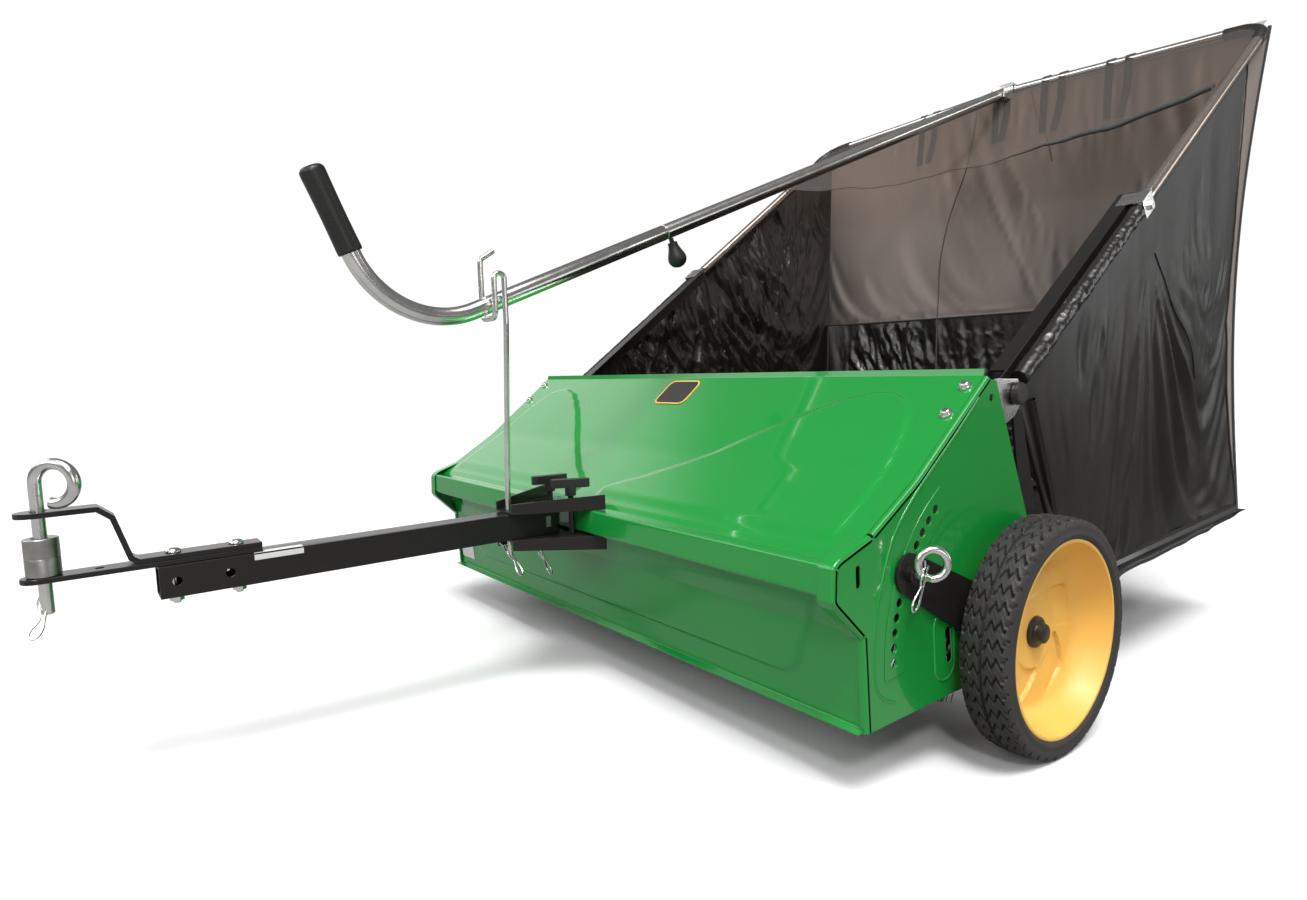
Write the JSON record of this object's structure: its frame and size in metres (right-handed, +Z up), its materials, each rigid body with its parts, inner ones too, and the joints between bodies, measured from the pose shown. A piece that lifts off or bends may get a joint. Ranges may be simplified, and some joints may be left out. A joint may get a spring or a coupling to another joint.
{
  "type": "tow-behind lawn sweeper",
  "caption": "Ground-driven lawn sweeper: a geared brush in a sheet-metal housing between two wheels, a tipping cloth hopper, a clamp-on draw tube and a long dump handle.",
  "frame": {"origin": "on the ground, at the centre of the bounding box in X and Y", "axes": "+X is the machine's right side seen along +Y, the machine is towed towards -Y, +Z is up"},
  "size_m": [1.251, 1.9555, 1.2015],
  "materials": {
    "green_paint": "gloss baked enamel",
    "black_paint": "semi-gloss powder coat",
    "zinc": "bright zinc plate",
    "steel": "plain machined steel",
    "yellow_plastic": "moulded, satin",
    "tyre_rubber": "moulded tread",
    "black_plastic": "moulded, satin",
    "nylon": "natural nylon",
    "bristle": "stiff nylon bristle",
    "vinyl": "coated cloth with a slight sheen",
    "screen_mesh": "open woven screen"
  },
  "bodies": {
    "housing": {"top_cover": "green_paint", "front_apron": "green_paint", "cross_brace": "green_paint", "side_plate_right": "green_paint", "side_plate_left": "green_paint", "shaft_bush_right": "nylon", "shaft_bush_left": "nylon", "pivot_bracket_right": "zinc", "pivot_bracket_left": "zinc", "pivot_pin_right": "black_plastic", "pivot_pin_left": "black_plastic", "hinge_strut_right": "black_paint", "hinge_strut_left": "black_paint"},
    "hitch": {"hitch_bracket_upper": "black_paint", "hitch_bracket_lower": "black_paint", "draw_tube": "black_paint", "hitch_strap_upper": "black_paint", "hitch_strap_lower": "black_paint", "strap_bolt_front": "zinc", "strap_bolt_rear": "zinc", "hitch_spacer": "steel", "handle_rest_rod": "zinc", "rest_rod_clip": "zinc"},
    "hitch_pin_body": {"hitch_pin": "zinc", "hitch_pin_clip": "zinc"},
    "brush": {"brush_shaft": "steel", "brush_section_1": "bristle", "brush_section_2": "bristle", "brush_section_3": "bristle", "brush_section_4": "bristle"},
    "hopper": {"hopper_upper_frame": "zinc", "hopper_lower_frame": "black_paint", "hopper_arm_right": "black_paint", "hopper_arm_left": "black_paint", "arm_clamp_right": "zinc", "arm_clamp_left": "zinc", "bag_body": "vinyl", "bag_rear_screen": "screen_mesh", "bag_top_screen": "screen_mesh"},
    "handle_bracket": {"handle_pivot_bracket": "zinc"},
    "handle": {"handle_rear_tube": "zinc", "handle_front_tube": "zinc", "handle_grip": "black_plastic"},
    "handle_knob_body": {"handle_knob": "black_plastic"},
    "height_bracket_right": {"wheel_bracket_right": "black_paint"},
    "wheel_right": {"wheel_rim_right": "yellow_plastic", "tyre_right": "tyre_rubber", "hub_cap_right": "black_plastic"},
    "pinion_right_body": {"pinion_right": "steel"},
    "lock_pin_right_body": {"lock_pin_right": "zinc", "lock_pin_clip_right": "zinc"},
    "clamp_knob_right_body": {"clamp_knob_right": "black_plastic"},
    "height_bracket_left": {"wheel_bracket_left": "black_paint"},
    "wheel_left": {"wheel_rim_left": "yellow_plastic", "tyre_left": "tyre_rubber", "hub_cap_left": "black_plastic"},
    "pinion_left_body": {"pinion_left": "steel"},
    "lock_pin_left_body": {"lock_pin_left": "zinc", "lock_pin_clip_left": "zinc"},
    "clamp_knob_left_body": {"clamp_knob_left": "black_plastic"}
  },
  "joints": [
    {"name": "hitch_slide", "type": "slide", "parent": "housing", "child": "hitch", "axis": [1, 0, 0], "range_m": [-0.1, 0.1]},
    {"name": "hitch_pin_turn", "type": "hinge", "parent": "hitch", "child": "hitch_pin_body", "pos_m": [0, -0.95282, 0.25432], "axis": [0, -0.0384, 0.9993], "continuous": true},
    {"name": "hopper_dump", "type": "hinge", "parent": "housing", "child": "hopper", "pos_m": [0, 0.0547, 0.457], "axis": [1, 0, 0], "range_deg": [0, 85]},
    {"name": "handle_swivel", "type": "hinge", "parent": "hopper", "child": "handle_bracket", "pos_m": [0, 0.9697, 1.184], "axis": [0, 0, 1], "range_deg": [-4.3, 4.3]},
    {"name": "handle_lift", "type": "hinge", "parent": "handle_bracket", "child": "handle", "pos_m": [0, 0.9347, 1.16877], "axis": [1, 0, 0], "range_deg": [-86, 1]},
    {"name": "handle_knob_turn", "type": "hinge", "parent": "handle", "child": "handle_knob_body", "pos_m": [0, -0.0883, 0.72817], "axis": [0, 0.3956, -0.9184], "continuous": true},
    {"name": "height_right", "type": "hinge", "parent": "housing", "child": "height_bracket_right", "pos_m": [0.5495, 0.01449, 0.16454], "axis": [1, 0, 0], "range_deg": [-23.75, 28.5]},
    {"name": "wheel_right_spin", "type": "hinge", "parent": "height_bracket_right", "child": "wheel_right", "pos_m": [0.594, 0.0547, 0.1524], "axis": [1, 0, 0], "continuous": true},
    {"name": "pinion_right_spin", "type": "hinge", "parent": "height_bracket_right", "child": "pinion_right_body", "pos_m": [0.57, 0.01449, 0.16454], "axis": [1, 0, 0], "continuous": true},
    {"name": "lock_pin_right_slide", "type": "slide", "parent": "height_bracket_right", "child": "lock_pin_right_body", "axis": [1, 0, 0], "range_m": [-0.01, 0.012]},
    {"name": "clamp_knob_right_turn", "type": "hinge", "parent": "hitch", "child": "clamp_knob_right_body", "pos_m": [0.032, -0.30379, 0.27925], "axis": [0, -0.0384, 0.9993], "continuous": true},
    {"name": "height_left", "type": "hinge", "parent": "housing", "child": "height_bracket_left", "pos_m": [-0.5495, 0.01449, 0.16454], "axis": [1, 0, 0], "range_deg": [-23.75, 28.5]},
    {"name": "wheel_left_spin", "type": "hinge", "parent": "height_bracket_left", "child": "wheel_left", "pos_m": [-0.594, 0.0547, 0.1524], "axis": [1, 0, 0], "continuous": true},
    {"name": "pinion_left_spin", "type": "hinge", "parent": "height_bracket_left", "child": "pinion_left_body", "pos_m": [-0.57, 0.01449, 0.16454], "axis": [1, 0, 0], "continuous": true},
    {"name": "lock_pin_left_slide", "type": "slide", "parent": "height_bracket_left", "child": "lock_pin_left_body", "axis": [-1, 0, 0], "range_m": [-0.01, 0.012]},
    {"name": "clamp_knob_left_turn", "type": "hinge", "parent": "hitch", "child": "clamp_knob_left_body", "pos_m": [-0.032, -0.30379, 0.27925], "axis": [0, -0.0384, 0.9993], "continuous": true},
    {"name": "brush_spin", "type": "hinge", "parent": "housing", "child": "brush", "pos_m": [0, 0.01449, 0.16454], "axis": [1, 0, 0], "continuous": true}
  ],
  "couplings": [
    {"joint": "handle_swivel", "follows": "hitch_slide", "rad_per_m": 0.719},
    {"joint": "handle_lift", "follows": "hopper_dump", "ratio": -1},
    {"joint": "pinion_right_spin", "follows": "wheel_right_spin", "ratio": 4.5},
    {"joint": "pinion_left_spin", "follows": "wheel_left_spin", "ratio": 4.5},
    {"joint": "brush_spin", "follows": "wheel_right_spin", "ratio": 4.5}
  ]
}
